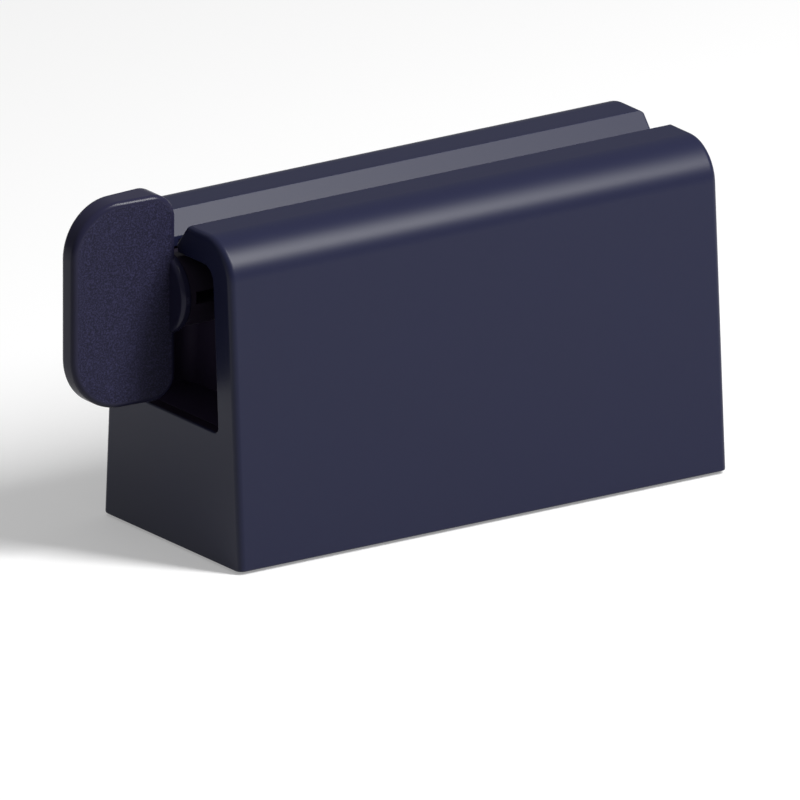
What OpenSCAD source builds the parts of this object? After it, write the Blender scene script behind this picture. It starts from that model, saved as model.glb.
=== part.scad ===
// Toothpaste dispenser: a free-standing winder that stands a tube on its tail.
// The tube's tail goes down through the slot in the top into a split shaft.
// Turning the paddle winds the tube up inside the housing.
// X runs along the shaft, the paddle is at -X, the front faces -Y, and +Z is up.
// The origin is the middle of the housing's footprint, on the surface that it stands on.

/* [Housing] */
// Length of the housing along the shaft
body_len = 90.5; // [80:1:120]
// Depth of the footprint, front to back
body_depth = 37.4; // [34:0.1:46]
// Height from the bottom rim to the flat tops
body_h = 52; // [50:0.5:60]
// How far the front and rear faces lean in over that height
face_lean = 3.1; // [0:0.1:4]
// Radius of the long top edges
shoulder_r = 6.8; // [6:0.1:7.6]
// Wall thickness of the shell
shell_t = 2.2; // [1.6:0.1:2.6]

/* [Tube mouth] */
// Width across the top of the V-shaped mouth
mouth_w = 8.4; // [7:0.1:10]
// Width of the slot at the foot of the mouth
slot_w = 2.7; // [2:0.1:3.2]
// Depth of the mouth, from the flat tops to the slot
mouth_depth = 3.4; // [2.4:0.1:3.6]
// Height of the upright lips on each side of the slot
lip_h = 1.5; // [1.2:0.1:2.2]

/* [End windows and pockets] */
// Width of the frame left around each end window
frame_w = 4.9; // [4.2:0.1:5.2]
// Radius of each window's top corners
window_r = 2.6; // [2.5:0.1:3.2]
// Height of the window sill above the rim
sill_h = 20.8; // [16:0.1:26]
// Corner radius at the ends of the sill
sill_r = 1; // [0.4:0.1:2]
// Depth of each pocket, from the end face to the web
pocket_depth = 11.7; // [9:0.1:14]
// Radius in the upright corners between the web and the pocket walls
pocket_r = 2.4; // [1:0.1:2.4]

/* [Bearing blocks] */
// Thickness of the web that carries the shaft
web_t = 2.4; // [2:0.1:3.5]
// Thickness of the pocket floor
floor_t = 2.4; // [1.6:0.1:3]
// Thickness of the bottom plate
plate_t = 2.6; // [2:0.1:3.5]
// How far the bottom plate stands up inside the rim
plate_rise = 0.4; // [0.3:0.1:1]
// Thickness of the stiffening rib under the pocket floor
rib_t = 1.6; // [1:0.1:2.4]
// Assembly gap between a block and the housing
fit_gap = 0.1; // [0.05:0.01:0.2]
// Radius of the long snap nubs that lock a block in the housing
nub_r = 1; // [0.8:0.1:1.3]
// How far a snap nub stands out of the block
nub_proud = 0.5; // [0.3:0.1:0.6]
// Length of a snap nub
nub_len = 7; // [4:0.5:8]
// Height of the snap nubs above the rim
nub_h = 9; // [6:0.5:13]

/* [Winding shaft] */
// Depth of the shaft's axis below the flat tops
axis_drop = 11.2; // [11:0.1:12]
// Radius of the shaft where it shows in the left pocket
shaft_r = 6; // [5.6:0.1:6]
// Radius of the two journals
journal_r = 5.2; // [4.8:0.1:5.3]
// Radial running clearance of the journals in the webs
journal_gap = 0.05; // [0.02:0.01:0.09]
// Endways play at the shoulder and at the snap bead
end_play = 0.1; // [0.05:0.05:0.3]
// Radius of the winding core between the webs
core_r = 4.3; // [3.8:0.1:4.6]
// Radius that the wound tube may grow to under the lips
wound_r = 7.4; // [7:0.1:7.6]
// Width of the slit that grips the tube's tail
slit_w = 2; // [1.4:0.1:2.4]
// Thickness of the disc that joins the shaft's two halves beside the collar
slit_root = 1; // [0.6:0.1:2]
// Radius of the snap bead at the free end
bead_r = 5.6; // [5.4:0.1:5.8]
// Length of the snap bead's round land
bead_len = 0.8; // [0.5:0.1:1.2]
// Radius of the free end, at the foot of the lead-in
free_end_r = 4.4; // [4:0.1:4.7]
// Length of the lead-in from the bead to the free end
lead_in = 1.6; // [1:0.1:2.5]

/* [Paddle] */
// Length of the paddle along the shaft
paddle_len = 18.3; // [15:0.1:22]
// Height of the paddle at rest
paddle_h = 33.2; // [28:0.1:36]
// Thickness of the paddle beside the housing
root_t = 6; // [5.4:0.1:7]
// Thickness of the paddle at its outer edge
tip_t = 3.4; // [2.8:0.1:5]
// Corner radius at the outer edge
tip_corner_r = 8.6; // [5:0.1:12]
// Corner radius beside the housing
root_corner_r = 4; // [2:0.1:5]
// Radius round the rim of both faces
rim_r = 0.5; // [0.2:0.1:1]
// Gap between the paddle and the housing's end face
paddle_gap = 1.2; // [0.8:0.1:2]

/* [Collar and tongue] */
// Radius of the collar disc at the paddle's root
collar_r = 6.6; // [6.2:0.1:8]
// Thickness of the collar disc
collar_t = 1.9; // [1.4:0.1:2.6]
// Radius round the collar's rim
collar_round = 0.7; // [0.3:0.1:0.7]
// Gap between the collar and the housing's end face
collar_gap = 0.5; // [0.3:0.1:0.8]
// Length of the tongue that carries the paddle
tongue_len = 9; // [6:0.5:12]
// Height of the tongue
tongue_h = 8.4; // [6:0.1:9]
// Thickness of the tongue
tongue_t = 3.2; // [2.4:0.1:3.4]
// Gap round the tongue in its socket
socket_gap = 0.05; // [0.02:0.01:0.1]

/* [Foot pads] */
// Radius of each soft pad
pad_r = 3.6; // [3:0.1:4.2]
// Thickness of each pad
pad_t = 1.5; // [1.2:0.1:2]
// How far the pads stand out below the rim
pad_proud = 0.5; // [0.3:0.1:0.7]
// Bevel round each pad's foot
pad_bevel = 0.3; // [0.1:0.1:0.5]
// Distance of each pad's centre from the foot of the nearest long face
pad_inset = 9.7; // [8:0.1:11]

/* [Hidden] */
$fn = 96;

// How far a cutting shape runs past the face that it opens
over = 1;
// How far a round's circle runs past the two faces that it joins, so that they cross cleanly
blend = 0.005;
// Facets in a full turn of the paddle's corners
corner_fn = 40;
// Steps in the round of the paddle's rim
rim_steps = 3;
// Thickness of each slice that the paddle is spanned from
slice_t = 0.05;

navy = [0.17, 0.18, 0.27];
dark_navy = [0.13, 0.13, 0.21];
grip_navy = [0.21, 0.21, 0.32];
pad_grey = [0.12, 0.12, 0.13];

// The housing's section
lean_a = atan(face_lean / body_h);
end_x = body_len / 2;
axis_h = body_h - axis_drop;
cavity_x = end_x - shell_t;

// The mouth's slanted walls
mouth_slope = mouth_depth / ((mouth_w - slot_w) / 2);
lip_z = body_h - mouth_depth - lip_h;

// The bearing blocks
web_out_x = end_x - pocket_depth;
web_in_x = web_out_x - web_t;
block_out_x = cavity_x - fit_gap;
block_inset = shell_t + fit_gap;
plate_top = plate_rise + plate_t;
chamber_top = sill_h - floor_t;
bore_r = journal_r + journal_gap;
pad_x = (block_out_x + web_in_x) / 2;
pad_y = body_depth / 2 - pad_inset;

// The rotating pieces, along the shaft
collar_in_x = -end_x - collar_gap;
collar_out_x = collar_in_x - collar_t;
paddle_root_x = -end_x - paddle_gap;
shoulder_x = web_out_x + end_play;
core_end_x = web_in_x - end_play;
core_taper = journal_r - core_r;
bead_rise = bead_r - journal_r;
bead_x = shoulder_x + bead_rise;
free_end_x = bead_x + bead_len + lead_in;
taper_a = atan((root_t - tip_t) / 2 / paddle_len);

// Half the depth of the section at height z, drawn in by inset
function face_y(z, inset) = body_depth / 2 - z * tan(lean_a) - inset / cos(lean_a);

// Lifts everything that is measured from the rim onto the pads
module on_pads() translate([0, 0, pad_proud]) children();

// Draws a section, given in Y and Z, from x0 to x1
module along_x(x0, x1) {
    translate([x0, 0, 0]) rotate([90, 0, 90]) linear_extrude(height = x1 - x0) children();
}

// A piece made for the right end, and its mirror image for the left
module both_ends() {
    children();
    mirror([1, 0, 0]) children();
}

// The same at the front and at the rear
module both_faces() {
    children();
    mirror([0, 1, 0]) children();
}

// The housing's section drawn in by inset, from height z_low up, with top corners of radius r
module body_section(inset, z_low, r) {
    top = body_h - inset;
    difference() {
        polygon([
            [-face_y(z_low, inset), z_low],
            [-face_y(top, inset), top],
            [face_y(top, inset), top],
            [face_y(z_low, inset), z_low]
        ]);
        both_corners() corner_cut(inset, r, top, 1);
    }
}

// The same corner at each end of a section
module both_corners() {
    children();
    mirror([1, 0]) children();
}

// What is cut from a section's square corner to round it, at the top (side 1) or the bottom (side -1)
module corner_cut(inset, r, edge_z, side) {
    reach = r - blend;
    past = r + over;
    far_z = edge_z + side * over;
    z = edge_z - side * reach;
    y = face_y(z, inset) - reach / cos(lean_a);
    difference() {
        polygon([
            [y, z],
            [y + past * cos(lean_a), z + past * sin(lean_a)],
            [face_y(far_z, inset - over), far_z],
            [y, far_z]
        ]);
        translate([y, z]) circle(r);
    }
}

// The walls of the mouth and all above them, let down by drop
module mouth_wall_section(drop) {
    half = slot_w / 2;
    top = body_h + over;
    half_top = half + (top - lip_z) / mouth_slope;
    polygon([
        [-half, lip_z - drop],
        [half, lip_z - drop],
        [half_top, top - drop],
        [half_top, top + drop],
        [-half_top, top + drop],
        [-half_top, top - drop]
    ]);
}

// The open mouth and its slot
module mouth_section() {
    slot_top = body_h - mouth_depth;
    half_over = mouth_w / 2 + over / mouth_slope;
    polygon([
        [-slot_w / 2, slot_top],
        [slot_w / 2, slot_top],
        [half_over, body_h + over],
        [-half_over, body_h + over]
    ]);
    translate([-slot_w / 2, lip_z - over]) square([slot_w, mouth_depth + lip_h + over]);
}

// The space round the shaft's axis that the wound tube turns in
module wound_section(r) translate([0, axis_h]) circle(r);

// The space inside the shell
module cavity_section() {
    difference() {
        body_section(shell_t, -over, shoulder_r - shell_t);
        mouth_wall_section(0);
    }
    wound_section(wound_r);
}

// The window's outline, with round corners at the sill
module window_section() {
    difference() {
        body_section(frame_w, sill_h, window_r);
        both_corners() corner_cut(frame_w, sill_r, sill_h, -1);
    }
}

// A round bar along the inner wall at nub height, for a snap nub or its groove
module snap_bar(grow) {
    nub_y = face_y(nub_h, block_inset) - (nub_r - nub_proud);
    bar_len = nub_len + 2 * grow;
    translate([pad_x - bar_len / 2, nub_y, nub_h]) rotate([0, 90, 0]) cylinder(r = nub_r + grow, h = bar_len);
}

module housing() {
    color(navy) on_pads() difference() {
        along_x(-end_x, end_x) body_section(0, 0, shoulder_r);
        along_x(-cavity_x, cavity_x) cavity_section();
        along_x(-end_x - over, end_x + over) mouth_section();
        both_ends() along_x(cavity_x - over, end_x + over) window_section();
        both_ends() both_faces() snap_bar(fit_gap);
    }
}

// Fills the upright corner between the web and the rear pocket wall with a round
module pocket_corner() {
    translate([web_out_x, face_y(0, frame_w), 0]) rotate([lean_a, 0, 0]) linear_extrude(height = body_h)
        difference() {
            translate([0, -pocket_r]) square(pocket_r);
            translate([pocket_r, -pocket_r]) circle(pocket_r);
        }
}

// The hollow of a pocket, with its two round upright corners
module pocket_space() {
    difference() {
        along_x(web_out_x, end_x) window_section();
        both_faces() pocket_corner();
    }
}

// The hollow below the pocket floor, parted by the rib
module chamber_space() {
    both_faces() intersection() {
        along_x(web_out_x, end_x) difference() {
            body_section(frame_w, plate_top, window_r);
            translate([-body_depth / 2, chamber_top]) square([body_depth, body_h]);
        }
        translate([0, rib_t / 2, 0]) cube([body_len, body_depth, body_h]);
    }
}

// The right block: web, pocket, floor, rib, bottom plate and snap nubs
module bearing_block() {
    drop = fit_gap * sqrt(1 + mouth_slope * mouth_slope);
    difference() {
        union() {
            along_x(web_in_x, block_out_x) difference() {
                body_section(block_inset, plate_rise, shoulder_r - block_inset);
                mouth_wall_section(drop);
            }
            along_x(web_in_x, web_out_x) wound_section(wound_r - fit_gap);
            both_faces() snap_bar(0);
        }
        pocket_space();
        chamber_space();
        translate([web_in_x - over, 0, axis_h]) rotate([0, 90, 0]) cylinder(r = bore_r, h = web_t + 2 * over);
        both_faces() translate([pad_x, pad_y, -over])
            cylinder(r = pad_r + fit_gap, h = over + pad_t - pad_proud);
    }
}

module right_bearing_block() {
    color(dark_navy) on_pads() bearing_block();
}

module left_bearing_block() {
    color(dark_navy) on_pads() mirror([1, 0, 0]) bearing_block();
}

// Half the outline of the turned shaft: radius against distance along X
module shaft_profile() {
    polygon([
        [0, collar_in_x],
        [shaft_r, collar_in_x],
        [shaft_r, -shoulder_x],
        [journal_r, -shoulder_x],
        [journal_r, -core_end_x],
        [core_r, -core_end_x + core_taper],
        [core_r, core_end_x - core_taper],
        [journal_r, core_end_x],
        [journal_r, shoulder_x],
        [bead_r, bead_x],
        [bead_r, bead_x + bead_len],
        [free_end_r, free_end_x],
        [0, free_end_x]
    ]);
}

// A box along the shaft's axis, from x0 to x1, with height h and thickness t
module axial_bar(x0, x1, h, t) {
    translate([x0, -t / 2, axis_h - h / 2]) cube([x1 - x0, t, h]);
}

module roller() {
    color(dark_navy) on_pads() {
        difference() {
            translate([0, 0, axis_h]) rotate([0, 90, 0]) rotate_extrude() shaft_profile();
            axial_bar(collar_in_x + slit_root, free_end_x + over, slit_w, 2 * shaft_r + over);
        }
        axial_bar(collar_in_x - tongue_len, collar_in_x + slit_root / 2, tongue_h, tongue_t);
    }
}

// The four round corners of the paddle's outline, seen from the front and drawn in by inset
module paddle_corners(inset) {
    for (side = [-1, 1]) {
        translate([tip_corner_r - paddle_len, side * (paddle_h / 2 - tip_corner_r)])
            circle(tip_corner_r - inset, $fn = corner_fn);
        translate([-root_corner_r, side * (paddle_h / 2 - root_corner_r)])
            circle(root_corner_r - inset, $fn = corner_fn);
    }
}

// The two faces taper towards the outer edge, and each rim is rounded in steps
module paddle() {
    translate([paddle_root_x, 0, axis_h]) hull() {
        for (side = [-1, 1]) {
            for (i = [0:rim_steps]) {
                turn = 90 * i / rim_steps;
                depth = rim_r * (1 - sin(turn));
                translate([0, side * (root_t / 2 - depth), 0])
                    rotate([90, 0, side * taper_a])
                        linear_extrude(height = slice_t, center = true)
                            paddle_corners(rim_r * (1 - cos(turn)));
            }
        }
    }
}

// The collar disc with its rounded rim, as a radius against distance along X
module collar_profile() {
    translate([0, collar_out_x]) square([collar_r - collar_round, collar_t]);
    translate([0, collar_out_x + collar_round]) square([collar_r, collar_t - 2 * collar_round]);
    translate([collar_r - collar_round, collar_out_x + collar_round]) circle(collar_round);
    translate([collar_r - collar_round, collar_in_x - collar_round]) circle(collar_round);
}

module knob() {
    color(grip_navy) on_pads() difference() {
        union() {
            paddle();
            translate([0, 0, axis_h]) rotate([0, 90, 0]) rotate_extrude() collar_profile();
        }
        axial_bar(
            collar_in_x - tongue_len - socket_gap,
            collar_in_x + over,
            tongue_h + 2 * socket_gap,
            tongue_t + 2 * socket_gap
        );
    }
}

// A soft pad glued up into its recess
module foot_pad(x, y) {
    color(pad_grey) translate([x, y, 0]) rotate_extrude() polygon([
        [0, 0],
        [pad_r - pad_bevel, 0],
        [pad_r, pad_bevel],
        [pad_r, pad_t],
        [0, pad_t]
    ]);
}

module foot_pad_front_left() foot_pad(-pad_x, -pad_y);
module foot_pad_front_right() foot_pad(pad_x, -pad_y);
module foot_pad_rear_left() foot_pad(-pad_x, pad_y);
module foot_pad_rear_right() foot_pad(pad_x, pad_y);

housing();
left_bearing_block();
right_bearing_block();
roller();
knob();
foot_pad_front_left();
foot_pad_front_right();
foot_pad_rear_left();
foot_pad_rear_right();
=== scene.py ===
"""Looks for a free-standing toothpaste dispenser.

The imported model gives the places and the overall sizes, and the smaller sizes are named below. The
housing, winding shaft, paddle and foot pads are made again here with fine rounds, and the two
bearing blocks are finished copies of the frame's own. Lengths are in millimetres and become metres
when a mesh is made.
"""
import math

import bmesh
import bpy
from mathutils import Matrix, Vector


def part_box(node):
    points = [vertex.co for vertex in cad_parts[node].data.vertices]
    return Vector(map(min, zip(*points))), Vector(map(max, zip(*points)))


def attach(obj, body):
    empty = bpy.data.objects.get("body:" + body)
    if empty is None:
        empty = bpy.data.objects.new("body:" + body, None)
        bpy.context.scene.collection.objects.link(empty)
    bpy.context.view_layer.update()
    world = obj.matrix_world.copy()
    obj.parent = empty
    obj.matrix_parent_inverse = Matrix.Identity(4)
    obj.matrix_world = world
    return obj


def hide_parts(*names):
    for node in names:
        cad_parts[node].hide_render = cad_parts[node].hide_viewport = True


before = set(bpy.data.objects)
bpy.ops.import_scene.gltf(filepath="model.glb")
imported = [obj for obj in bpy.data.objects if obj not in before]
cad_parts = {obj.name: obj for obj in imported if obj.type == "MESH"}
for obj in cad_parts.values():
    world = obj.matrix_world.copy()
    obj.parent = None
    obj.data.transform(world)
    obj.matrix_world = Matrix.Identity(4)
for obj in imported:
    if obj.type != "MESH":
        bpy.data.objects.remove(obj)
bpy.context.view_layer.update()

MM = 0.001


def box_mm(node):
    """Lowest and highest corner of a node of the frame, in millimetres."""
    low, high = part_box(node)
    return low / MM, high / MM


# Sizes taken from the frame
housing_low, housing_high = box_mm("housing")
block_low = box_mm("right_bearing_block")[0]
shaft_low, shaft_high = box_mm("roller")
knob_low, knob_high = box_mm("knob")
pad_low, pad_high = box_mm("foot_pad_rear_right")

RIM_Z = housing_low.z
END_X = housing_high.x
BODY_H = housing_high.z - RIM_Z
HALF_DEPTH = housing_high.y
AXIS_Z = (knob_low.z + knob_high.z) / 2

# The housing's own sizes
FACE_LEAN = 3.1
LEAN = math.atan(FACE_LEAN / BODY_H)
SHOULDER_R = 6.8
SHELL_T = 2.2
END_ROUND = 1.05
RIM_ROUND = 0.25
MOUTH_W = 8.4
SLOT_W = 2.7
MOUTH_DEPTH = 3.4
MOUTH_ROUND = 0.45
LIP_H = 1.5
LIP_ROUND = 0.3
FRAME_W = 4.9
SILL_H = 20.8
SILL_R = 1.0
WINDOW_R = 2.6
WINDOW_ROUND = 0.3
WOUND_R = 7.4

# The bearing blocks, and the snap nubs that the housing has grooves for
FIT_GAP = 0.1
NUB_H = 9.0
NUB_R = 1.0
NUB_PROUD = 0.5
NUB_LEN = 7.0
WEB_T = 2.4
WEB_IN_X = block_low.x
WEB_OUT_X = WEB_IN_X + WEB_T
BLOCK_EDGE = 0.12

# The winding shaft, along X
END_PLAY = 0.1
SHAFT_R = 6.0
JOURNAL_R = 5.2
CORE_R = 4.3
BEAD_R = 5.6
BEAD_LEN = 0.8
FREE_END_R = 4.4
SLIT_W = 2.0
SLIT_ROOT = 1.0
TONGUE_LEN = 9.0
TONGUE_H = 8.4
TONGUE_T = 3.2
COLLAR_IN_X = shaft_low.x + TONGUE_LEN
SHAFT_EDGE = 0.18
JOURNAL_FILLET = 0.1

# The paddle and its collar
COLLAR_R = 6.6
COLLAR_T = 1.9
COLLAR_ROUND = 0.7
PADDLE_LEN = 18.3
PADDLE_TIP_X = knob_low.x
PADDLE_ROOT_X = PADDLE_TIP_X + PADDLE_LEN
PADDLE_H = knob_high.z - knob_low.z
ROOT_T = 6.0
TIP_T = 3.4
TIP_CORNER_R = 8.6
ROOT_CORNER_R = 4.0
RIM_R = 0.85
SOCKET_GAP = 0.05

# The foot pads
PAD_X = (pad_low.x + pad_high.x) / 2
PAD_Y = (pad_low.y + pad_high.y) / 2
PAD_R = (pad_high.x - pad_low.x) / 2
PAD_T = pad_high.z - pad_low.z
PAD_BEVEL = 0.3

# How finely round forms are cut up
TURNED_FACETS = 128
WOUND_FACETS = 96
PAD_FACETS = 72
GROOVE_FACETS = 24

# How far a cutter reaches past what it cuts
OVER = 1.0


# Outlines

def rounded(corners, offset=0.0, steps=12):
    """Points round an outline in a plane. A corner is (u, v, radius, moves), anticlockwise.
    offset moves every edge outwards whose first corner has moves set. The radius between two such
    edges grows or shrinks with it."""
    least_radius = 0.02
    count = len(corners)
    edges = []
    for i in range(count):
        u0, v0, _, moves = corners[i]
        u1, v1 = corners[(i + 1) % count][:2]
        du, dv = u1 - u0, v1 - v0
        size = math.hypot(du, dv)
        du, dv = du / size, dv / size
        shift = offset if moves else 0.0
        edges.append((u0 + dv * shift, v0 - du * shift, du, dv))
    points = []
    for i in range(count):
        au, av, adu, adv = edges[i - 1]
        bu, bv, bdu, bdv = edges[i]
        turn = adu * bdv - adv * bdu
        along = ((bu - au) * bdv - (bv - av) * bdu) / turn
        u, v = au + adu * along, av + adv * along
        radius = corners[i][2]
        if radius <= 0:
            points.append((u, v))
            continue
        moved = corners[i - 1][3] and corners[i][3]
        if moved:
            radius = max(radius + (offset if turn > 0 else -offset), least_radius)
        angle = math.atan2(turn, adu * bdu + adv * bdv)
        back = radius * abs(math.tan(angle / 2))
        side = 1 if angle > 0 else -1
        cu, cv = u - adu * back - adv * radius * side, v - adv * back + adu * radius * side
        start = math.atan2(av + adv * (along - back) - cv, au + adu * (along - back) - cu)
        for k in range(steps + 1):
            a = start + angle * k / steps
            points.append((cu + radius * math.cos(a), cv + radius * math.sin(a)))
    return points


def circle(radius, facets):
    """Points round a circle about the origin of a plane."""
    turns = [math.tau * k / facets for k in range(facets)]
    return [(radius * math.cos(a), radius * math.sin(a)) for a in turns]


def face_y(z, inset=0.0):
    """Half the housing's depth at height z above the rim, drawn in by inset."""
    return HALF_DEPTH - z * math.tan(LEAN) - inset / math.cos(LEAN)


def body_corners(inset, z_low, top_r, foot_r=0.0):
    """The housing's section as corners, in Y and height above the rim."""
    top = BODY_H - inset
    return [
        (-face_y(z_low, inset), z_low, foot_r, False),
        (face_y(z_low, inset), z_low, foot_r, True),
        (face_y(top, inset), top, top_r, True),
        (-face_y(top, inset), top, top_r, True),
    ]


def across(points, x):
    """Points of a section in Y and height above the rim, set at x."""
    return [(x, y, z + RIM_Z) for y, z in points]


def both_ends(right):
    """Rings from the left end to the right one, from the right end's own."""
    left = [[(-x, y, z) for x, y, z in ring] for ring in right[::-1]]
    return left + right


# Meshes

def new_object(name, data):
    """An object in the scene that shows a mesh, a lamp or a lens."""
    made = bpy.data.objects.new(name, data)
    bpy.context.scene.collection.objects.link(made)
    return made


def loft(name, rings):
    """A closed body through rings of points, all with the same count, in millimetres."""
    shape = bmesh.new()
    rows = [[shape.verts.new(Vector(p) * MM) for p in ring] for ring in rings]
    count = len(rings[0])
    for low, high in zip(rows, rows[1:]):
        for i in range(count):
            j = (i + 1) % count
            shape.faces.new((low[i], low[j], high[j], high[i]))
    shape.faces.new(rows[0][::-1])
    shape.faces.new(rows[-1])
    bmesh.ops.recalc_face_normals(shape, faces=shape.faces)
    mesh = bpy.data.meshes.new(name)
    shape.to_mesh(mesh)
    shape.free()
    return new_object(name, mesh)


def box_piece(name, low, high):
    """A box from its lowest to its highest corner."""
    ring = [(low[1], low[2]), (high[1], low[2]), (high[1], high[2]), (low[1], high[2])]
    return loft(name, [[(x, y, z) for y, z in ring] for x in (low[0], high[0])])


def settle(piece):
    """Applies every modifier on a piece and leaves a plain mesh."""
    depsgraph = bpy.context.evaluated_depsgraph_get()
    done = bpy.data.meshes.new_from_object(piece.evaluated_get(depsgraph))
    piece.modifiers.clear()
    piece.data = done
    return piece


def cut(piece, tools, operation="DIFFERENCE"):
    """Cuts or joins tools with a piece, and removes the tools."""
    for tool in tools:
        step = piece.modifiers.new("cut", "BOOLEAN")
        step.operation = operation
        step.solver = "EXACT"
        step.object = tool
        settle(piece)
        bpy.data.objects.remove(tool)


def soften(piece, angle=32.0, weld=0.0004):
    """Welds doubles, smooths across edges shallower than angle and keeps the flats flat."""
    shape = bmesh.new()
    shape.from_mesh(piece.data)
    bmesh.ops.remove_doubles(shape, verts=shape.verts, dist=weld * MM)
    bmesh.ops.dissolve_degenerate(shape, edges=shape.edges, dist=weld * MM)
    shape.to_mesh(piece.data)
    shape.free()
    piece.data.polygons.foreach_set("use_smooth", [True] * len(piece.data.polygons))
    piece.data.set_sharp_from_angle(angle=math.radians(angle))
    weights = piece.modifiers.new("flats", "WEIGHTED_NORMAL")
    weights.mode = "FACE_AREA"
    weights.weight = 100
    weights.keep_sharp = True
    return settle(piece)


def mark(piece, name, marked):
    """Gives a piece a mask: 1 on each face for which marked is true, and 0 on the others."""
    mask = piece.data.attributes.new(name, "FLOAT", "CORNER")
    for face in piece.data.polygons:
        value = 1.0 if marked(face) else 0.0
        for corner in face.loop_indices:
            mask.data[corner].value = value


# Shader groups

def group(name, inputs, outputs):
    """An empty shader group with typed inputs (name, kind, default) and outputs (name, kind)."""
    tree = bpy.data.node_groups.new(name, "ShaderNodeTree")
    for title, kind, value in inputs:
        socket = tree.interface.new_socket(title, in_out="INPUT", socket_type=kind)
        if value is not None:
            socket.default_value = value
    for title, kind in outputs:
        tree.interface.new_socket(title, in_out="OUTPUT", socket_type=kind)
    return tree, tree.nodes.new("NodeGroupInput"), tree.nodes.new("NodeGroupOutput")


def add(tree, kind, **settings):
    """A new node with its settings."""
    node = tree.nodes.new(kind)
    for key, value in settings.items():
        setattr(node, key, value)
    return node


def noise(tree, place, scale, detail, roughness):
    """A noise over a place, with a scale that comes from a socket."""
    node = add(tree, "ShaderNodeTexNoise")
    tree.links.new(place, node.inputs["Vector"])
    tree.links.new(scale, node.inputs["Scale"])
    node.inputs["Detail"].default_value = detail
    node.inputs["Roughness"].default_value = roughness
    return node.outputs["Fac"]


def spread(tree, value, low, high, first=0.25, last=0.75):
    """Maps a noise from first..last, by default its usual reach, to low..high."""
    node = add(tree, "ShaderNodeMapRange")
    tree.links.new(value, node.inputs["Value"])
    node.inputs["From Min"].default_value = first
    node.inputs["From Max"].default_value = last
    for title, end in (("To Min", low), ("To Max", high)):
        if isinstance(end, float):
            node.inputs[title].default_value = end
        else:
            tree.links.new(end, node.inputs[title])
    return node.outputs["Result"]


def scaled(tree, colour, amount):
    """A colour made lighter or darker by a number that varies over the surface."""
    node = add(tree, "ShaderNodeVectorMath", operation="SCALE")
    tree.links.new(colour, node.inputs[0])
    tree.links.new(amount, node.inputs["Scale"])
    return node.outputs[0]


def moulded_skin():
    """A moulded plastic's skin: a faint cloudiness of tone and gloss, and the mould's fine grain."""
    tree, given, out = group(
        "moulded_skin",
        [
            ("Place", "NodeSocketVector", None),
            ("Colour", "NodeSocketColor", (0.03, 0.03, 0.08, 1)),
            ("Cloud Scale", "NodeSocketFloat", 60.0),
            ("Cloud Low", "NodeSocketFloat", 0.97),
            ("Cloud High", "NodeSocketFloat", 1.03),
            ("Gloss Low", "NodeSocketFloat", 0.3),
            ("Gloss High", "NodeSocketFloat", 0.34),
            ("Grain Scale", "NodeSocketFloat", 4000.0),
        ],
        [("Colour", "NodeSocketColor"), ("Roughness", "NodeSocketFloat"), ("Grain", "NodeSocketFloat")],
    )
    place = given.outputs["Place"]
    cloud = noise(tree, place, given.outputs["Cloud Scale"], detail=3.0, roughness=0.55)
    tone = spread(tree, cloud, given.outputs["Cloud Low"], given.outputs["Cloud High"])
    tree.links.new(scaled(tree, given.outputs["Colour"], tone), out.inputs["Colour"])
    gloss = spread(tree, cloud, given.outputs["Gloss Low"], given.outputs["Gloss High"])
    tree.links.new(gloss, out.inputs["Roughness"])
    grain = noise(tree, place, given.outputs["Grain Scale"], detail=2.0, roughness=0.6)
    tree.links.new(grain, out.inputs["Grain"])
    return tree


def spark_texture():
    """The fine pitted texture of a spark-eroded mould, as a height and a tone. Only the upper part
    of the noise brightens the tone, so that it shows as fine specks."""
    speck_first, speck_last = 0.44, 0.68
    tree, given, out = group(
        "spark_texture",
        [
            ("Place", "NodeSocketVector", None),
            ("Scale", "NodeSocketFloat", 1500.0),
            ("Tone Low", "NodeSocketFloat", 0.8),
            ("Tone High", "NodeSocketFloat", 1.2),
        ],
        [("Height", "NodeSocketFloat"), ("Tone", "NodeSocketFloat")],
    )
    pits = noise(tree, given.outputs["Place"], given.outputs["Scale"], detail=3.0, roughness=0.7)
    tree.links.new(spread(tree, pits, 0.0, 1.0), out.inputs["Height"])
    dark, bright = given.outputs["Tone Low"], given.outputs["Tone High"]
    tree.links.new(spread(tree, pits, dark, bright, speck_first, speck_last), out.inputs["Tone"])
    return tree


SKIN = moulded_skin()
SPARK = spark_texture()


# Materials

def skinned(name, colour, specular, gloss, cloud=(0.98, 1.02)):
    """A material with the moulded skin. Returns it with its tree, shader, skin and place."""
    made = bpy.data.materials.new(name)
    made.use_nodes = True
    tree = made.node_tree
    shader = tree.nodes["Principled BSDF"]
    shader.inputs["Specular IOR Level"].default_value = specular
    place = add(tree, "ShaderNodeTexCoord").outputs["Object"]
    skin = add(tree, "ShaderNodeGroup", node_tree=SKIN)
    tree.links.new(place, skin.inputs["Place"])
    skin.inputs["Colour"].default_value = (*colour, 1)
    skin.inputs["Cloud Low"].default_value, skin.inputs["Cloud High"].default_value = cloud
    skin.inputs["Gloss Low"].default_value, skin.inputs["Gloss High"].default_value = gloss
    tree.links.new(skin.outputs["Colour"], shader.inputs["Base Color"])
    tree.links.new(skin.outputs["Roughness"], shader.inputs["Roughness"])
    return made, tree, shader, skin, place


def emboss(tree, shader, height, depth, strength):
    """Lets a height between 0 and 1 raise a surface by up to depth millimetres."""
    bump = add(tree, "ShaderNodeBump")
    bump.inputs["Strength"].default_value = strength
    bump.inputs["Distance"].default_value = depth * MM
    tree.links.new(height, bump.inputs["Height"])
    tree.links.new(bump.outputs["Normal"], shader.inputs["Normal"])


def emboss_grain(tree, shader, skin, depth=0.002):
    """Gives a material the fine grain of its own skin."""
    emboss(tree, shader, skin.outputs["Grain"], depth, strength=0.3)


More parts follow.
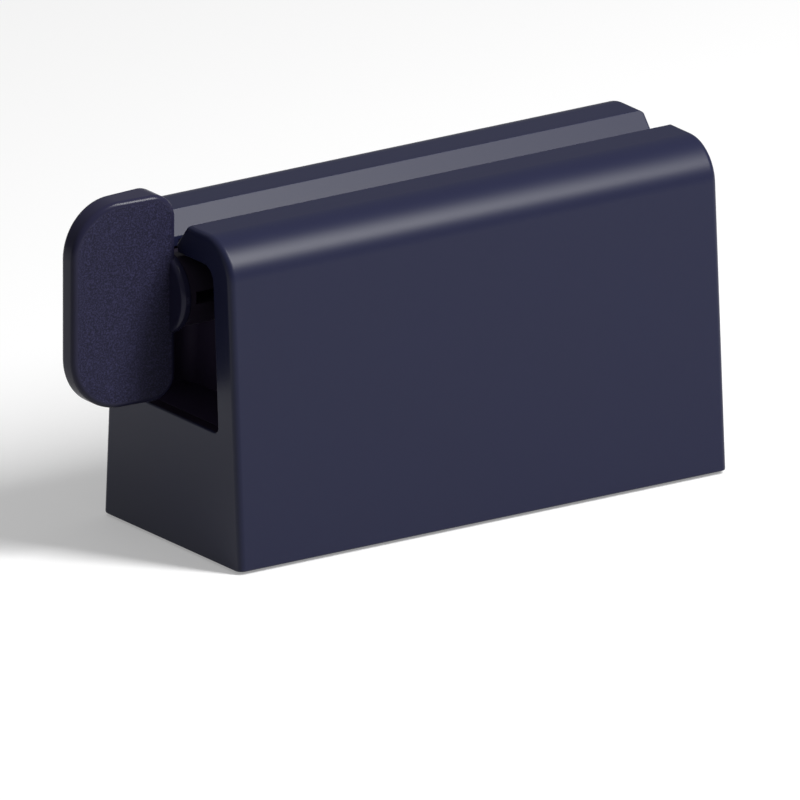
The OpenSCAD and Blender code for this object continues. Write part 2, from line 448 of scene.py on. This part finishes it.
def blend(tree, mask, plain, marked):
    """A number that is plain where the mask is 0, and comes from a socket where it is 1."""
    node = add(tree, "ShaderNodeMix", data_type="FLOAT")
    tree.links.new(mask, node.inputs["Factor"])
    node.inputs["A"].default_value = plain
    tree.links.new(marked, node.inputs["B"])
    return node.outputs["Result"]


def plain_plastic(name, colour, specular, gloss):
    """A moulded plastic with nothing but its skin."""
    made, tree, shader, skin, _ = skinned(name, colour, specular, gloss)
    emboss_grain(tree, shader, skin)
    return made


def housing_plastic():
    """The shell's plastic, with painted shade: a darker, redder tone on the window reveals, standing in for
    the shade inside the two windows.
    """
    made, tree, shader, skin, _ = skinned(
        "navy_housing_plastic", (0.0125, 0.0145, 0.0443), specular=0.24, gloss=(0.36, 0.39))
    emboss_grain(tree, shader, skin)
    mask = add(tree, "ShaderNodeAttribute", attribute_name="window_reveal_painted_shade").outputs["Fac"]
    tone = add(tree, "ShaderNodeMix", data_type="RGBA")
    tree.links.new(mask, tone.inputs["Factor"])
    tree.links.new(skin.outputs["Colour"], tone.inputs["A"])
    # Painted shade: this colour on the reveals stands in for the shade inside the windows, not for a
    # different plastic.
    tone.inputs["B"].default_value = (0.02, 0.014, 0.028, 1)
    tree.links.new(tone.outputs["Result"], shader.inputs["Base Color"])
    return made


def grip_plastic():
    """The paddle's plastic. Its broad faces have the spark texture, and the rim is smoother."""
    made, tree, shader, skin, place = skinned(
        "sparked_grip_plastic", (0.0212, 0.0203, 0.0485), specular=0.14, gloss=(0.42, 0.48))
    rim_gloss = 0.25
    bare_tone = 1.0
    spark = add(tree, "ShaderNodeGroup", node_tree=SPARK)
    tree.links.new(place, spark.inputs["Place"])
    spark.inputs["Scale"].default_value = 3900.0
    spark.inputs["Tone Low"].default_value = 0.66
    spark.inputs["Tone High"].default_value = 2.15
    mask = add(tree, "ShaderNodeAttribute", attribute_name="texture_mask").outputs["Fac"]
    tone = blend(tree, mask, bare_tone, spark.outputs["Tone"])
    tree.links.new(scaled(tree, skin.outputs["Colour"], tone), shader.inputs["Base Color"])
    finish = blend(tree, mask, rim_gloss, skin.outputs["Roughness"])
    tree.links.new(finish, shader.inputs["Roughness"])
    height = add(tree, "ShaderNodeMath", operation="MULTIPLY")
    tree.links.new(mask, height.inputs[0])
    tree.links.new(spark.outputs["Height"], height.inputs[1])
    emboss(tree, shader, height.outputs[0], depth=0.04, strength=1.0)
    return made


def pad_rubber():
    """The pads' soft rubber, matt and a little coarser than the plastics."""
    made, tree, shader, skin, _ = skinned(
        "soft_pad_rubber", (0.012, 0.012, 0.014), specular=0.2, gloss=(0.7, 0.8), cloud=(0.9, 1.1))
    skin.inputs["Grain Scale"].default_value = 1800.0
    emboss_grain(tree, shader, skin, depth=0.02)
    return made


HOUSING_PLASTIC = housing_plastic()
BLOCK_PLASTIC = plain_plastic("dark_block_plastic", (0.032, 0.023, 0.052), specular=0.1, gloss=(0.5, 0.55))
SHAFT_PLASTIC = plain_plastic("navy_shaft_plastic", (0.028, 0.022, 0.038), specular=0.18, gloss=(0.3, 0.34))
GRIP_PLASTIC = grip_plastic()
PAD_RUBBER = pad_rubber()


def dress(piece, material, body, slot, *nodes):
    """Gives a finished piece its material and the body it moves with, and hides the nodes it stands for.
    The slot is not used.
    """
    piece.data.materials.clear()
    piece.data.materials.append(material)
    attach(piece, body)
    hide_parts(*nodes)


# The housing

def outer_form():
    """The housing's closed outer form, with its end faces' edges rounded in."""
    steps = 6
    corners = body_corners(0, 0, SHOULDER_R, RIM_ROUND)
    right = []
    for k in range(steps + 1):
        turn = math.radians(90 * k / steps)
        x = END_X - END_ROUND * (1 - math.sin(turn))
        inset = END_ROUND * (1 - math.cos(turn))
        right.append(across(rounded(corners, -inset, steps=16), x))
    return loft("housing_shell", both_ends(right))


def flare(reach, round_r, turns):
    """Pairs of (x, how far a cutter grows) that round the edge it leaves in the end face.
    turns are the steps of the round in degrees, and the last one's slope runs on just past the face."""
    past_face = 0.03
    pairs = []
    for turn in turns:
        a = math.radians(turn)
        pairs.append((END_X - round_r * (1 - math.sin(a)), round_r * (1 - math.cos(a))))
    x, grown = pairs[-1]
    slope = math.tan(math.radians(turns[-1]))
    out = END_X + past_face
    pairs.append((out, grown + (out - x) * slope))
    pairs.append((END_X + reach, pairs[-1][1]))
    return pairs


def mouth_cutter():
    """The V mouth and its slot, with small rounds where the V meets the flats and the slot."""
    half = SLOT_W / 2
    slot_top = BODY_H - MOUTH_DEPTH
    foot = slot_top - LIP_H - OVER
    ledge = 0.7
    rise = ledge * math.tan(math.radians(6))
    side = [
        (half, foot, 0, True),
        (half, slot_top, LIP_ROUND, True),
        (MOUTH_W / 2, BODY_H, LIP_ROUND, True),
        (MOUTH_W / 2 + ledge, BODY_H + rise, 0, True),
        (MOUTH_W / 2 + ledge, BODY_H + 2 * OVER, 0, True),
    ]
    corners = side + [(-y, z, r, m) for y, z, r, m in side[::-1]]
    turns = [0, 15, 30, 45, 60, 75]
    pairs = flare(2 * OVER, MOUTH_ROUND, turns)
    right = [across(rounded(corners, grown, steps=5), x) for x, grown in pairs]
    return loft("mouth_cutter", both_ends(right))


def window_cutter(name, sign):
    """The opening in one end, with its outer edge rounded. sign is 1 for the right end."""
    corners = [(y, z, r, True) for y, z, r, _ in body_corners(FRAME_W, SILL_H, WINDOW_R, SILL_R)]
    turns = [0, 12, 24, 36, 48, 60, 75]
    pairs = [(END_X - SHELL_T - OVER, 0.0)] + flare(OVER, WINDOW_ROUND, turns)
    return loft(name, [across(rounded(corners, grown), sign * x) for x, grown in pairs])


def cavity_cutter():
    """The space inside the shell, below the two lips."""
    half = SLOT_W / 2
    lip_z = BODY_H - MOUTH_DEPTH - LIP_H
    slope = MOUTH_DEPTH / ((MOUTH_W - SLOT_W) / 2)
    top = BODY_H - SHELL_T
    meet_y = half + (top - lip_z) / slope
    points = rounded(body_corners(SHELL_T, -OVER, SHOULDER_R - SHELL_T), steps=16)
    foot = points[:2]
    over = [(y, z) for y, z in points if z > lip_z]
    left_over = [p for p in over if p[0] < 0]
    right_over = [p for p in over if p[0] > 0]
    notch = [(meet_y, top), (half, lip_z), (-half, lip_z), (-meet_y, top)]
    outline = foot + right_over + notch + left_over
    reach = END_X - SHELL_T
    return loft("cavity_cutter", [across(outline, -reach), across(outline, reach)])


def wound_cutter():
    """The round room for the wound tube, along the shaft."""
    ring = circle(WOUND_R, WOUND_FACETS)
    reach = END_X - SHELL_T
    return loft("wound_cutter", [[(x, y, z + AXIS_Z) for y, z in ring] for x in (-reach, reach)])


def nub_groove(sign_x, sign_y):
    """The long groove that a block's snap nub clicks into."""
    y = sign_y * (face_y(NUB_H, SHELL_T + FIT_GAP) - (NUB_R - NUB_PROUD))
    ring = circle(NUB_R + FIT_GAP, GROOVE_FACETS)
    half = NUB_LEN / 2 + FIT_GAP
    ends = (sign_x * PAD_X - half, sign_x * PAD_X + half)
    return loft("nub_groove", [[(x, y + b, NUB_H + RIM_Z + c) for b, c in ring] for x in ends])


def in_reveal(face):
    """Whether a face is on the sill, sides or head of a window, inside its rounded edge, where the shade is
    painted.
    """
    slack = 0.05
    inner_slack = 0.01
    share_of_round = 0.9
    faces_the_end = 0.9
    centre = face.center / MM
    depth, height = abs(centre.x), centre.z - RIM_Z
    in_wall = END_X - SHELL_T - inner_slack < depth < END_X - WINDOW_ROUND * share_of_round
    in_height = SILL_H - slack < height < BODY_H - FRAME_W + slack
    in_width = abs(centre.y) < face_y(height, FRAME_W) + slack
    return in_wall and in_height and in_width and abs(face.normal.x) < faces_the_end


def make_housing():
    """The shell: its outer form, less its cavity, windows, mouth and nub grooves."""
    shell = outer_form()
    windows = [window_cutter("right_window", 1), window_cutter("left_window", -1)]
    grooves = [nub_groove(a, b) for a in (-1, 1) for b in (-1, 1)]
    cut(shell, [cavity_cutter(), wound_cutter()] + windows + [mouth_cutter()] + grooves)
    soften(shell)
    # Marks the window reveals for the painted shade.
    mark(shell, "window_reveal_painted_shade", in_reveal)
    dress(shell, HOUSING_PLASTIC, "base", "housing_shell", "housing")


# The bearing blocks

def finished_copy(node, name):
    """A copy of a node of the frame: welded, its flat faces made whole, its edges eased."""
    weld = 0.0005
    flat_angle, edge_angle = math.radians(0.5), math.radians(35)
    piece = new_object(name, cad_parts[node].data.copy())
    shape = bmesh.new()
    shape.from_mesh(piece.data)
    bmesh.ops.remove_doubles(shape, verts=shape.verts, dist=weld * MM)
    bmesh.ops.dissolve_limit(
        shape, angle_limit=flat_angle, verts=shape.verts, edges=shape.edges, delimit={"NORMAL"})
    shape.to_mesh(piece.data)
    shape.free()
    ease = piece.modifiers.new("ease", "BEVEL")
    ease.width = BLOCK_EDGE * MM
    ease.segments = 2
    ease.limit_method = "ANGLE"
    ease.angle_limit = edge_angle
    ease.harden_normals = False
    settle(piece)
    return soften(piece, angle=40)


def make_blocks():
    """The two bearing blocks, each a finished copy of its node."""
    for side in ("left", "right"):
        node = side + "_bearing_block"
        block = finished_copy(node, side + "_block")
        dress(block, BLOCK_PLASTIC, "base", "inner_moulding", node)


# Turned pieces

def turned_tree():
    """A turned body: the stations of a line along X carry their radius, and a circle follows them.
    Returns the tree and its sockets' identifiers by name."""
    tree = bpy.data.node_groups.new("turned_body", "GeometryNodeTree")
    sockets = {}
    for title, kind in (
        ("Stations", "NodeSocketGeometry"),
        ("Facets", "NodeSocketInt"),
        ("Plastic", "NodeSocketMaterial"),
    ):
        sockets[title] = tree.interface.new_socket(title, in_out="INPUT", socket_type=kind).identifier
    tree.interface.new_socket("Body", in_out="OUTPUT", socket_type="NodeSocketGeometry")
    given = tree.nodes.new("NodeGroupInput")
    out = tree.nodes.new("NodeGroupOutput")
    line = tree.nodes.new("GeometryNodeMeshToCurve")
    radius = tree.nodes.new("GeometryNodeInputNamedAttribute")
    radius.data_type = "FLOAT"
    radius.inputs["Name"].default_value = "turned_radius"
    ring = tree.nodes.new("GeometryNodeCurvePrimitiveCircle")
    ring.inputs["Radius"].default_value = 1.0
    sweep = tree.nodes.new("GeometryNodeCurveToMesh")
    sweep.inputs["Fill Caps"].default_value = True
    real = tree.nodes.new("GeometryNodeRealizeInstances")
    paint = tree.nodes.new("GeometryNodeSetMaterial")
    link = tree.links.new
    link(given.outputs["Stations"], line.inputs["Mesh"])
    link(line.outputs["Curve"], sweep.inputs["Curve"])
    link(given.outputs["Facets"], ring.inputs["Resolution"])
    link(ring.outputs["Curve"], sweep.inputs["Profile Curve"])
    link(radius.outputs["Attribute"], sweep.inputs["Scale"])
    link(sweep.outputs["Mesh"], real.inputs["Geometry"])
    link(real.outputs["Geometry"], paint.inputs["Geometry"])
    link(given.outputs["Plastic"], paint.inputs["Material"])
    link(paint.outputs["Geometry"], out.inputs["Body"])
    return tree, sockets


TURNED, TURNED_SOCKETS = turned_tree()


def turned(name, corners, material, steps=5):
    """A turned piece on the shaft's axis, from corners (x, radius, round) of its half outline."""
    nudge = 0.0004
    weld = 0.00001
    below_axis = -1.0
    outline = [(x, r, c, False) for x, r, c in corners]
    first, last = corners[0][0], corners[-1][0]
    closed = outline + [(last, below_axis, 0, False), (first, below_axis, 0, False)]
    stations = [p for p in rounded(closed, steps=steps) if p[1] > 0]
    places = []
    for x, _ in stations:
        places.append(x if not places or x > places[-1] + nudge else places[-1] + nudge)
    mesh = bpy.data.meshes.new(name)
    mesh.from_pydata([(x * MM, 0, 0) for x in places], [(i, i + 1) for i in range(len(places) - 1)], [])
    radii = mesh.attributes.new("turned_radius", "FLOAT", "POINT")
    radii.data.foreach_set("value", [r * MM for _, r in stations])
    piece = new_object(name, mesh)
    made = piece.modifiers.new("turned", "NODES")
    made.node_group = TURNED
    made[TURNED_SOCKETS["Facets"]] = TURNED_FACETS
    made[TURNED_SOCKETS["Plastic"]] = material
    settle(piece)
    shape = bmesh.new()
    shape.from_mesh(piece.data)
    bmesh.ops.translate(shape, verts=shape.verts, vec=(0, 0, AXIS_Z * MM))
    bmesh.ops.remove_doubles(shape, verts=shape.verts, dist=weld * MM)
    bmesh.ops.recalc_face_normals(shape, faces=shape.faces)
    shape.to_mesh(piece.data)
    shape.free()
    return piece


def tongue_box(name, end_x, gap=0.0):
    """The paddle's tongue on the shaft, or with a gap round it the socket that it sits in."""
    low = (shaft_low.x - gap, -TONGUE_T / 2 - gap, AXIS_Z - TONGUE_H / 2 - gap)
    high = (end_x, TONGUE_T / 2 + gap, AXIS_Z + TONGUE_H / 2 + gap)
    return box_piece(name, low, high)


def slit_cutter():
    """The slit between the shaft's two halves, open at the free end."""
    half = SLIT_W / 2
    wide = SHAFT_R + OVER
    low = (COLLAR_IN_X + SLIT_ROOT, -wide, AXIS_Z - half)
    high = (shaft_high.x + OVER, wide, AXIS_Z + half)
    return box_piece("slit_cutter", low, high)


def make_shaft():
    """The split winding shaft: root, journals, core, snap bead and lead-in, with the paddle's tongue."""
    shoulder_x = WEB_OUT_X + END_PLAY
    core_x = WEB_IN_X - END_PLAY
    taper = JOURNAL_R - CORE_R
    bead_x = shoulder_x + (BEAD_R - JOURNAL_R)
    shaft = turned("winding_shaft", [
        (COLLAR_IN_X, SHAFT_R, 0),
        (-shoulder_x, SHAFT_R, SHAFT_EDGE),
        (-shoulder_x, JOURNAL_R, JOURNAL_FILLET),
        (-core_x, JOURNAL_R, SHAFT_EDGE),
        (-core_x + taper, CORE_R, SHAFT_EDGE),
        (core_x - taper, CORE_R, SHAFT_EDGE),
        (core_x, JOURNAL_R, SHAFT_EDGE),
        (shoulder_x, JOURNAL_R, JOURNAL_FILLET),
        (bead_x, BEAD_R, SHAFT_EDGE),
        (bead_x + BEAD_LEN, BEAD_R, SHAFT_EDGE),
        (shaft_high.x, FREE_END_R, SHAFT_EDGE),
    ], SHAFT_PLASTIC)
    cut(shaft, [slit_cutter()])
    cut(shaft, [tongue_box("tongue", COLLAR_IN_X + SLIT_ROOT / 2)], "UNION")
    soften(shaft, angle=38)
    dress(shaft, SHAFT_PLASTIC, "rotor", "winding_shaft", "roller")


# The paddle

def paddle_corners():
    """The paddle's outline seen from the front, in X and height, anticlockwise from below."""
    low, high = AXIS_Z - PADDLE_H / 2, AXIS_Z + PADDLE_H / 2
    return [
        (PADDLE_TIP_X, low, TIP_CORNER_R, True),
        (PADDLE_ROOT_X, low, ROOT_CORNER_R, True),
        (PADDLE_ROOT_X, high, ROOT_CORNER_R, True),
        (PADDLE_TIP_X, high, TIP_CORNER_R, True),
    ]


def half_thickness(x):
    """Half the paddle's thickness at x, a straight wedge from root to tip."""
    share = (x - PADDLE_TIP_X) / (PADDLE_ROOT_X - PADDLE_TIP_X)
    return (TIP_T + (ROOT_T - TIP_T) * share) / 2


def on_broad_face(face):
    """Whether a face is on one of the paddle's two broad faces, where the texture goes."""
    wedge = math.atan((ROOT_T - TIP_T) / 2 / (PADDLE_ROOT_X - PADDLE_TIP_X))
    slack = math.radians(2)
    return abs(face.normal.y) > math.cos(slack) * math.cos(wedge)


def make_paddle():
    """The wedge with its rounded rim and collar, and the socket for the shaft's tongue."""
    steps = 5
    corners = paddle_corners()
    front = []
    for k in range(steps + 1):
        turn = math.radians(90 * k / steps)
        ring = rounded(corners, -RIM_R * (1 - math.sin(turn)), steps=20)
        front.append([(x, -half_thickness(x) + RIM_R * (1 - math.cos(turn)), z) for x, z in ring])
    rear = [[(x, -y, z) for x, y, z in ring] for ring in front[::-1]]
    paddle = loft("thumb_paddle", front + rear)
    collar = turned("collar", [
        (COLLAR_IN_X - COLLAR_T, COLLAR_R, COLLAR_ROUND),
        (COLLAR_IN_X, COLLAR_R, COLLAR_ROUND),
    ], GRIP_PLASTIC, steps=8)
    cut(paddle, [collar], "UNION")
    cut(paddle, [tongue_box("socket", COLLAR_IN_X + OVER, SOCKET_GAP)])
    soften(paddle)
    mark(paddle, "texture_mask", on_broad_face)
    dress(paddle, GRIP_PLASTIC, "rotor", "grip", "knob")


# The foot pads

def pad_pattern():
    """Four pads at the corners of a rectangle, as one repeated piece.
    Returns the tree and its sockets' identifiers by name."""
    tree = bpy.data.node_groups.new("four_pads", "GeometryNodeTree")
    sockets = {}
    for title, kind in (
        ("Start", "NodeSocketGeometry"),
        ("Pad", "NodeSocketObject"),
        ("Spacing X", "NodeSocketFloat"),
        ("Spacing Y", "NodeSocketFloat"),
        ("Rubber", "NodeSocketMaterial"),
    ):
        sockets[title] = tree.interface.new_socket(title, in_out="INPUT", socket_type=kind).identifier
    tree.interface.new_socket("Pads", in_out="OUTPUT", socket_type="NodeSocketGeometry")
    given = tree.nodes.new("NodeGroupInput")
    out = tree.nodes.new("NodeGroupOutput")
    corners = tree.nodes.new("GeometryNodeMeshGrid")
    corners.inputs["Vertices X"].default_value = 2
    corners.inputs["Vertices Y"].default_value = 2
    one = tree.nodes.new("GeometryNodeObjectInfo")
    place = tree.nodes.new("GeometryNodeInstanceOnPoints")
    real = tree.nodes.new("GeometryNodeRealizeInstances")
    paint = tree.nodes.new("GeometryNodeSetMaterial")
    link = tree.links.new
    link(given.outputs["Spacing X"], corners.inputs["Size X"])
    link(given.outputs["Spacing Y"], corners.inputs["Size Y"])
    link(given.outputs["Pad"], one.inputs["Object"])
    link(corners.outputs["Mesh"], place.inputs["Points"])
    link(one.outputs["Geometry"], place.inputs["Instance"])
    link(place.outputs["Instances"], real.inputs["Geometry"])
    link(real.outputs["Geometry"], paint.inputs["Geometry"])
    link(given.outputs["Rubber"], paint.inputs["Material"])
    link(paint.outputs["Geometry"], out.inputs["Pads"])
    return tree, sockets


def one_pad():
    """A pad at the origin, from its rounded foot upwards."""
    levels = [(0, PAD_R - PAD_BEVEL)]
    for turn in (30, 60, 90):
        a = math.radians(turn)
        levels.append((PAD_BEVEL * (1 - math.cos(a)), PAD_R - PAD_BEVEL * (1 - math.sin(a))))
    levels.append((PAD_T, PAD_R))
    return loft("one_pad", [[(x, y, z) for x, y in circle(r, PAD_FACETS)] for z, r in levels])


def make_pads():
    """The four foot pads, one for each corner of the housing."""
    pad = one_pad()
    tree, sockets = pad_pattern()
    pads = new_object("foot_pads", bpy.data.meshes.new("foot_pads"))
    step = pads.modifiers.new("pattern", "NODES")
    step.node_group = tree
    step[sockets["Pad"]] = pad
    step[sockets["Spacing X"]] = 2 * PAD_X * MM
    step[sockets["Spacing Y"]] = 2 * PAD_Y * MM
    step[sockets["Rubber"]] = PAD_RUBBER
    settle(pads)
    bpy.data.objects.remove(pad)
    soften(pads, angle=40)
    dress(
        pads, PAD_RUBBER, "base", "foot_pads",
        "foot_pad_front_left", "foot_pad_front_right", "foot_pad_rear_left", "foot_pad_rear_right")


# Floor, light and camera

def white_to_camera(tree):
    """1 for camera, mirror and glass rays, and 0 for the light that reaches the object's surfaces."""
    rays = add(tree, "ShaderNodeLightPath")
    first = add(tree, "ShaderNodeMath", operation="ADD", use_clamp=True)
    second = add(tree, "ShaderNodeMath", operation="ADD", use_clamp=True)
    tree.links.new(rays.outputs["Is Camera Ray"], first.inputs[0])
    tree.links.new(rays.outputs["Is Glossy Ray"], first.inputs[1])
    tree.links.new(first.outputs[0], second.inputs[0])
    tree.links.new(rays.outputs["Is Transmission Ray"], second.inputs[1])
    return second.outputs[0]


def make_floor():
    """A pale floor that keeps the object's shadow, with a little of its own white to the camera."""
    size, thickness = 4000.0, 2.0
    lit_tone, seen_tone, seen_glow = 0.22, 0.74, 0.28
    floor = box_piece("floor", (-size, -size, -thickness), (size, size, 0.0))
    made = bpy.data.materials.new("pale_floor")
    made.use_nodes = True
    tree = made.node_tree
    shader = tree.nodes["Principled BSDF"]
    shader.inputs["Roughness"].default_value = 0.9
    shader.inputs["Specular IOR Level"].default_value = 0.0
    shader.inputs["Emission Color"].default_value = (1, 1, 1, 1)
    seen = white_to_camera(tree)
    tone = add(tree, "ShaderNodeMix", data_type="RGBA")
    tree.links.new(seen, tone.inputs["Factor"])
    tone.inputs["A"].default_value = (lit_tone, lit_tone, lit_tone, 1)
    tone.inputs["B"].default_value = (seen_tone, seen_tone, seen_tone, 1)
    tree.links.new(tone.outputs["Result"], shader.inputs["Base Color"])
    glow = add(tree, "ShaderNodeMath", operation="MULTIPLY")
    tree.links.new(seen, glow.inputs[0])
    glow.inputs[1].default_value = seen_glow
    tree.links.new(glow.outputs[0], shader.inputs["Emission Strength"])
    floor.data.materials.append(made)


def make_world():
    """A dim studio all round, a little brighter overhead."""
    horizon, overhead = 0.19, 0.36
    world = bpy.data.worlds.new("studio")
    bpy.context.scene.world = world
    world.use_nodes = True
    tree = world.node_tree
    around = tree.nodes["Background"]
    around.inputs["Color"].default_value = (1, 1, 1, 1)
    way = add(tree, "ShaderNodeTexCoord").outputs["Generated"]
    split = add(tree, "ShaderNodeSeparateXYZ")
    tree.links.new(way, split.inputs["Vector"])
    rise = add(tree, "ShaderNodeMapRange")
    tree.links.new(split.outputs["Z"], rise.inputs["Value"])
    rise.inputs["To Min"].default_value = horizon
    rise.inputs["To Max"].default_value = overhead
    tree.links.new(rise.outputs["Result"], around.inputs["Strength"])


def way_to(azimuth, elevation):
    """The way from the object to a lamp or camera. Azimuth is in degrees from the front, to the right."""
    a, e = math.radians(azimuth), math.radians(elevation)
    return Vector((math.sin(a) * math.cos(e), -math.cos(a) * math.cos(e), math.sin(e)))


def set_up(name, data, aim, way, distance):
    """A lamp or camera at a distance in metres from its aim in millimetres, turned to it."""
    made = new_object(name, data)
    made.rotation_mode = "QUATERNION"
    made.rotation_quaternion = way.to_track_quat("Z", "Y")
    made.location = Vector(aim) * MM + way * distance
    return made


def make_key():
    """One softbox at the front right, above the object and turned to it."""
    distance = 0.8
    level = 3.9
    lamp = bpy.data.lights.new("soft_key", "AREA")
    lamp.shape = "RECTANGLE"
    lamp.size, lamp.size_y = 0.16, 0.5
    lamp.energy = level * math.pi * distance * distance
    set_up("soft_key", lamp, aim=(0, 0, 30), way=way_to(32.3, 47.6), distance=distance)


def make_camera():
    """A long-lens view from the front left, a little above."""
    view_width = 122.57
    lens = bpy.data.cameras.new("camera")
    lens.type = "ORTHO"
    lens.ortho_scale = view_width * MM
    lens.clip_start, lens.clip_end = 0.01, 20
    bpy.context.scene.camera = set_up(
        "camera", lens, aim=(0.354, 4.671, 13.793), way=way_to(-34.4, 18), distance=0.6)


make_camera()
make_housing()
make_blocks()
make_shaft()
make_paddle()
make_pads()
make_floor()
make_world()
make_key()
bpy.context.scene.view_settings.view_transform = "Standard"
